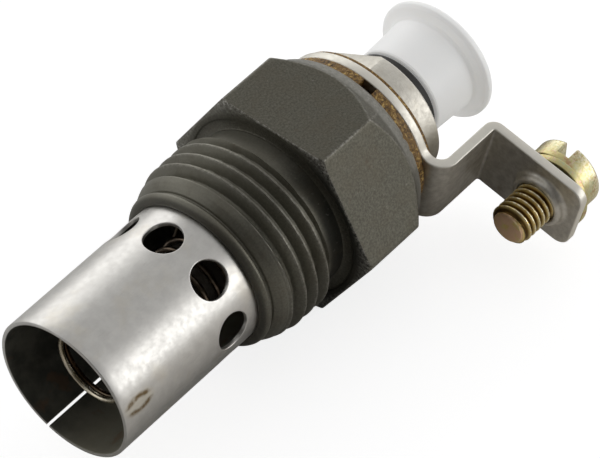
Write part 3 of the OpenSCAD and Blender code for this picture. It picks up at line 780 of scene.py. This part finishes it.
def terminal_strip():
    """A blank of ring and tongue, bent twice, with a drawn collar round its hole."""
    t, e = 0.575, 0.15  # half the sheet's thickness, and its edges' rounding
    half, ring_r, ring_hole, corner, fillet_r = 4.85, 10.0, 7.4, 1.8, 1.6
    # along the flat blank from the ring's centre: both bends, the tab's tip and its hole
    bend1, arm, bend2, tab, tip, hole = 9.35, 12.295, 18.395, 19.769, 32.019, 27.219
    # once bent: each bend's radius at the sheet's middle, and where the ring and tab stand
    bend1_r, bend2_r, ring_x, tab_x = 1.875, 0.875, 14.125, 22.975
    arm_x, tab_d = ring_x + bend1_r, 12.1  # the arm's start, and the tab's
    centre = math.sqrt((ring_r + fillet_r) ** 2 - (half + fillet_r) ** 2)
    lean = math.atan2(half + fillet_r, centre)
    ring_points, root_points = 40, 6
    stations = [bend1 - 0.12] + list(np.linspace(bend1, arm, 11)) + [arm + 0.12]
    stations += list(np.linspace(arm + 1, bend2 - 1, 4)) + [bend2 - 0.12]
    stations += list(np.linspace(bend2, tab, 11)) + [tab + 0.12]
    first = ring_points + root_points - 1  # the outline's points before its straight side
    straight = stations + list(np.linspace(tab + 0.8, tip - corner - 0.05, 12))

    def bent(p, h):
        """A point of the flat blank, h off its middle, once bent."""
        u, v = p
        if u < bend1:
            x, d = ring_x - h, u
        elif u < arm:
            a, r = (u - bend1) / bend1_r, bend1_r + h
            x, d = arm_x - r * math.cos(a), bend1 + r * math.sin(a)
        elif u < bend2:
            x, d = arm_x + u - arm, bend1 + bend1_r + h
        elif u < tab:
            a, r = (u - bend2) / bend2_r, bend2_r - h
            x, d = tab_x - bend2_r + r * math.sin(a), tab_d - r * math.cos(a)
        else:
            x, d = tab_x - h, tab_d + u - tab
        return x, -d, v

    def outline(inset):
        """The blank's edge: the ring, its root into the tongue, and the tongue's end."""
        r = ring_r - inset
        upper = [(r * math.cos(a), r * math.sin(a))
                 for a in np.linspace(math.pi, lean, ring_points)]
        r = fillet_r + inset
        root_end = 1.5 * math.pi - 0.34  # the straight side's points carry on from here
        upper += [(centre + r * math.cos(a), half + fillet_r + r * math.sin(a))
                  for a in np.linspace(lean + math.pi, root_end, root_points)[1:]]
        upper += [(u, half + fillet_r - math.sqrt(r * r - max(0.0, centre - u) ** 2))
                  for u in straight]
        r = corner - inset
        upper += [(tip - corner + r * math.cos(a), half - corner + r * math.sin(a))
                  for a in np.linspace(math.pi / 2, 0, 10)]
        return upper + [(u, -v) for u, v in reversed(upper[1:])]

    def circle(at, r, n):
        return [(at + r * math.cos(a), r * math.sin(a))
                for a in np.linspace(0, 2 * math.pi, n, endpoint=False)]

    arc = [(e * (1 - math.sin(a)), t - e * (1 - math.cos(a)))
           for a in np.radians([0, 30, 60, 90])]
    wall = [(e + 0.08, t)] + arc
    wall += [(u, -h) for u, h in reversed(wall)]
    collar = [(3.8, t), (3.6, t), (3.43, t + 0.11), (3.32, t + 0.26), (3.27, t + 0.45),
              (3.25, t + 0.65), (3.19, t + 0.83), (3.07, t + 0.97), (2.92, t + 1.06),
              (2.75, t + 1.1), (2.62, t + 1.06), (2.53, t + 0.97), (2.5, t + 0.85),
              (2.5, 0.15 - t), (2.55, 0.04 - t), (2.65, -t), (2.8, -t)]
    walls = [[(outline(u), h) for u, h in wall],
             [(circle(0, ring_hole + u, 72), h) for u, h in wall],
             [(circle(hole, r, 48), h) for r, h in collar]]
    flat, height, cut, faces, ends = [], [], [], [], ([], [])  # ends: both faces' borders
    for rings in walls:
        start, n = len(flat), len(rings[0][0])
        for k, (points, h) in enumerate(rings):
            flat += points
            height += [h] * n
            rim = rings is not walls[2] and 1 < k < len(rings) - 2
            cut += [1.0 if rim else 0.0] * n
        faces += grid_faces(len(rings), n, wrap_cols=True, start=start)
        ends[0].append(list(range(start, start + n)))
        ends[1].append(list(range(start + (len(rings) - 1) * n, start + len(rings) * n)))
    for loops in ends:
        index = sum(loops, [])
        where = {k: i for i, k in enumerate(index)}
        edges = [(where[a], where[b])
                 for loop in loops for a, b in zip(loop, loop[1:] + loop[:1])]
        # lines across the arm, so that it bends in even steps
        edges += [(first + k, len(loops[0]) - first - k) for k in range(len(stations))]
        result = geometry.delaunay_2d_cdt([Vector(flat[k]) for k in index], edges, [], 0, 1e-7)
        outline_at, ring_at, hole_at = ([flat[k] for k in loop] for loop in loops)
        for face in result[2]:
            p = sum((result[0][k] for k in face), Vector((0, 0))) / len(face)
            if within(p, outline_at) and not within(p, ring_at) and not within(p, hole_at):
                faces.append([index[result[3][k][0]] for k in face])
    verts = [bent(p, h) for p, h in zip(flat, height)]
    obj = make("terminal_plate", strip_axis(verts), faces, 40)
    store(obj, "cut", cut)
    stand_for(obj, "plug", "terminal_strip", NICKEL)


def transit_cap():
    corners = [(28.1, 0), (28.3, 5.9), (28.75, 6.25), (28.75, 7.25), (28.4, 7.55),
               (27.9, 7.55), (27.55, 7.2), (27.3, 6.25), (27.05, 5.9), (21.5, 5.68),
               (21.3, 5.55), (21.3, 4.8), (26.7, 4.8), (27.0, 4.5), (27.0, 0)]
    radii = [0, 0.3, 0.3, 0.25, 0.25, 0.25, 0.3, 0.35, 0.3, 0.1, 0.1, 0.1, 0.1, 0.1, 0]
    profile = fillet(corners, radii, 5, closed=False)
    obj = lathe("protective_cap", profile, 144, 50)
    stand_for(obj, "cap", "transit_cap", POLYTHENE)


def terminal_screw():
    # threaded shank
    crest_r, root_r, shank_end = 2.45, 1.9, 25.2
    depth, root_half, flank = 0.45, 0.05, 0.29
    angles = np.arange(0, 360, 3.0)
    rows, wear, deep = [], [], []
    ones = np.ones_like(angles)

    def row(x, r, w=0.0):
        rows.append((x * ones, r * ones))
        wear.append(w * ones)
        deep.append(0.0 * ones)

    row(16.6, 0.9)
    row(16.6, 1.7)
    row(16.62, 1.88, 0.5)
    for x in np.arange(16.68, 24.4, 0.045):
        crest = min(crest_r, 1.95 + (x - 16.66) * 1.0)
        cut, _ = thread_depth(x, angles, 17.7, SCREW_PITCH, depth, root_half, flank)
        r = np.maximum(crest - cut, root_r)
        row(x, r)
        wear[-1] = np.exp(-((r - 2.43) / 0.05) ** 2)
        # the deep attribute marks the grooves for painted shade
        deep[-1] = np.clip((2.42 - r) / 0.26, 0, 1) * (x > 16.9)
    row(24.42, 2.4)
    row(shank_end, 2.4)
    m = len(angles)
    verts = turned(rows, angles) + [(16.63, 0, 0), (shank_end, 0, 0)]
    faces = grid_faces(len(rows), m, wrap_cols=True)
    faces += fan(len(verts) - 2, 0, m) + fan(len(verts) - 1, (len(rows) - 1) * m, m)
    shank = make("terminal_screw_shank", strip_axis(verts, SCREW_OFF), faces, 40)
    store(shank, "wear", list(np.concatenate(wear)) + [0, 0])
    store(shank, "deep", list(np.concatenate(deep)) + [0, 0])
    stand_for(shank, "screw", None, ZINC)
    # cheese head with its driver slot
    profile = fillet([(25.0, 0), (25.0, 4.1), (27.68, 4.14), (27.7, 0)],
                     [0, 0.14, 0.42, 0], 5, closed=False)
    head = lathe("terminal_screw_head", profile, 96)
    turn, floor_x, slot = math.radians(80), 25.9, 0.75  # the slot's turn, floor and half width
    c, s = math.cos(turn), math.sin(turn)
    corners = [(x, y * c - z * s, y * s + z * c) for x in (floor_x, 29)
               for y, z in ((-6, -slot), (6, -slot), (6, slot), (-6, slot))]
    cutter = make("slot_cutter", corners, [(0, 1, 2, 3), (7, 6, 5, 4), (0, 4, 5, 1),
                                           (1, 5, 6, 2), (2, 6, 7, 3), (3, 7, 4, 0)])
    slot_cut = head.modifiers.new("slot", "BOOLEAN")
    slot_cut.operation, slot_cut.object, slot_cut.solver = "DIFFERENCE", cutter, "EXACT"
    edges = head.modifiers.new("edges", "BEVEL")
    edges.width, edges.segments = 0.08 * MM, 2
    edges.limit_method, edges.angle_limit = "ANGLE", math.radians(45)
    bpy.context.view_layer.update()
    mesh = bpy.data.meshes.new_from_object(head.evaluated_get(
        bpy.context.evaluated_depsgraph_get()))
    head.modifiers.clear()
    head.data = mesh
    bpy.data.objects.remove(cutter)
    flat = np.array([v.co for v in mesh.vertices]) / MM - (SEAT, 0, 0)
    placed = to_row(strip_axis(flat, SCREW_OFF))
    mesh.vertices.foreach_set("co", placed.astype(np.float32).ravel())
    mesh.shade_smooth()
    mesh.set_sharp_from_angle(angle=math.radians(35))
    mesh.update()
    x, r = flat[:, 0], np.hypot(flat[:, 1], flat[:, 2])
    store(head, "wear", np.exp(-(((r - 4.05) / 0.12) ** 2)) * (x > 26.9))
    # the deep attribute marks the slot for painted shade
    store(head, "deep", np.clip((26.6 - x) / 0.4, 0, 1) * (r < 3.9) * (x > 25.5) * 0.6)
    stand_for(head, "screw", "terminal_screw", ZINC)


def spring_washer():
    section = fillet([(2.85, 0), (4.55, 0), (4.55, 0.8), (2.85, 0.8)], 0.1, 3)
    count, split, gap = 150, 240, 9.0
    seat, rise = 23.57, 0.6  # just off the tab's face, and how far the sprung half lifts
    shift = (0, -0.32, -0.09)  # it hangs a little off the screw's axis
    verts = []
    for a in np.linspace(split + gap / 2, split + 360 - gap / 2, count):
        t = min(1.0, max(0.0, (a % 360 - 10) / 180))
        lift = seat + rise * math.sin(math.pi * t) ** 2
        ring = np.array([polar(lift + x, r, a) for r, x in section])
        verts += (ring + shift).tolist()
    faces = rod_faces(count, len(section))
    obj = make("split_spring_washer", strip_axis(verts, SCREW_OFF), faces, 40)
    store(obj, "wear", np.zeros(len(obj.data.vertices)))
    store(obj, "deep", np.zeros(len(obj.data.vertices)))
    stand_for(obj, "washer", "spring_washer", ZINC)


hex_body()
shield()
coils()
outer_washer()
terminal_strip()
transit_cap()
terminal_screw()
spring_washer()
carry("clamp_nut", NICKEL, 0.18)
carry("rear_washer", FIBRE, 0.05)
carry("seal_ring", RUBBER, 0.12)
carry("fuel_adaptor", PLAIN_STEEL, 0.06)
carry("valve_tube", BAR_STEEL)
carry("valve_seat", BAR_STEEL)
carry("valve_ball", BALL_STEEL)
carry("valve_stem", BAR_STEEL)
carry("coil_sleeve", CERAMIC)
carry("live_lead", HOT_WIRE)
carry("copper_washer", COPPER)
carry("insulating_bush", RESIN)
carry("inlet_filter", GAUZE)


# ------------------------------------------------------- floor, light and camera
def floor():
    size, level = 3.0, -0.01202  # metres, just under the plug
    mesh = bpy.data.meshes.new("floor")
    mesh.from_pydata([(-size, -size, level), (size, -size, level), (size, size, level),
                      (-size, size, level)], [], [(0, 1, 2, 3)])
    obj = bpy.data.objects.new("floor", mesh)
    bpy.context.scene.collection.objects.link(obj)
    f = Finish("pale floor", Roughness=0.9)
    f.put("Specular IOR Level", 0.0)
    path = f.add("ShaderNodeLightPath")
    seen = path.outputs["Is Camera Ray"]
    f.put("Emission Color", (1, 1, 1))
    f.put("Emission Strength", f.math("MULTIPLY", seen, 0.80))
    # painted shade and light, seen only in the metal: the floor is darker beside the tab and
    # paler beyond the plug
    x, y, _ = f.axes()
    painted_floor_reflection = f.mix(f.span(x, 0, 12), (0.50, 0.49, 0.47), (0.22, 0.21, 0.20))
    painted_floor_reflection = f.mix(f.span(y, -9, -24), painted_floor_reflection, (0.95, 0.92, 0.88))
    painted_floor_reflection = f.mix(f.span(y, 2, 22), painted_floor_reflection, (0.95, 0.95, 0.94))
    shade = f.mix(path.outputs["Is Glossy Ray"], (0.93, 0.93, 0.93), painted_floor_reflection)
    shade = f.mix(seen, shade, (0.5, 0.5, 0.5))
    f.put("Base Color", shade)
    mesh.materials.append(f.material)


def sky():
    """A light tent: bright low down, dimmer overhead, and dark behind the camera."""
    world = bpy.data.worlds.new("tent")
    bpy.context.scene.world = world
    world.use_nodes = True
    tree = world.node_tree
    tree.nodes.clear()
    out = tree.nodes.new("ShaderNodeOutputWorld")
    background = tree.nodes.new("ShaderNodeBackground")
    coord = tree.nodes.new("ShaderNodeTexCoord")
    split = tree.nodes.new("ShaderNodeSeparateXYZ")
    ramp = tree.nodes.new("ShaderNodeValToRGB")
    tree.links.new(coord.outputs["Generated"], split.inputs[0])
    tree.links.new(split.outputs[2], ramp.inputs[0])
    stops = [(0.0, 0.95), (0.30, 1.0), (0.50, 0.80), (0.72, 0.52), (1.0, 0.50)]
    elements = ramp.color_ramp.elements
    while len(elements) < len(stops):
        elements.new(0.5)
    for element, (position, level) in zip(elements, stops):
        element.position = position
        element.color = (level, level, level, 1)
    ramp.color_ramp.interpolation = "EASE"
    tree.links.new(ramp.outputs[0], background.inputs[0])
    # the room behind the camera is dark
    aside = tree.nodes.new("ShaderNodeVectorMath")
    aside.operation = "DOT_PRODUCT"
    aside.inputs[1].default_value = (-0.766, -0.643, 0)
    fade = tree.nodes.new("ShaderNodeMapRange")
    fade.interpolation_type = "SMOOTHSTEP"
    for socket, value in zip(fade.inputs, (0.0, 0.18, 0.50, 0.95, 0.12)):
        socket.default_value = value
    tree.links.new(coord.outputs["Generated"], aside.inputs[0])
    tree.links.new(aside.outputs["Value"], fade.inputs[0])
    # seen straight by the camera it is as white as the floor
    seen = tree.nodes.new("ShaderNodeLightPath").outputs["Is Camera Ray"]
    level = tree.nodes.new("ShaderNodeMath")
    level.operation = "MULTIPLY_ADD"
    level.inputs[1].default_value = 1.5
    tree.links.new(seen, level.inputs[0])
    tree.links.new(fade.outputs[0], level.inputs[2])
    tree.links.new(level.outputs[0], background.inputs[1])
    tree.links.new(background.outputs[0], out.inputs[0])


def lamp(name, place, size, power):
    """A round lamp, size metres across, that faces the plug."""
    data = bpy.data.lights.new(name, "AREA")
    data.shape, data.size, data.energy = "DISK", size, power
    obj = bpy.data.objects.new(name, data)
    obj.location = place
    obj.rotation_euler = (-Vector(place)).to_track_quat("-Z", "Y").to_euler()
    bpy.context.scene.collection.objects.link(obj)


def camera():
    data = bpy.data.cameras.new("camera")
    data.sensor_width, data.lens = 36.0, 240.5
    data.clip_start, data.clip_end = 0.02, 20.0
    obj = bpy.data.objects.new("camera", data)
    right = Vector((0.64427, -0.76479, 0.00279))
    up = Vector((0.57719, 0.48862, 0.65429))
    back = -Vector((0.50176, 0.41993, -0.75624))
    turn = Matrix((right, up, back)).transposed()
    obj.matrix_world = Matrix.Translation((-0.20773, -0.18318, 0.32195)) @ turn.to_4x4()
    bpy.context.scene.collection.objects.link(obj)
    bpy.context.scene.camera = obj


floor()
sky()
lamp("side light", (0.30, -0.40, 0.13), 0.36, 0.42)
lamp("far light", (0.30, 0.45, 0.14), 0.50, 0.36)
camera()
bpy.context.scene.view_settings.view_transform = "Standard"
bpy.context.scene.view_settings.look = "None"
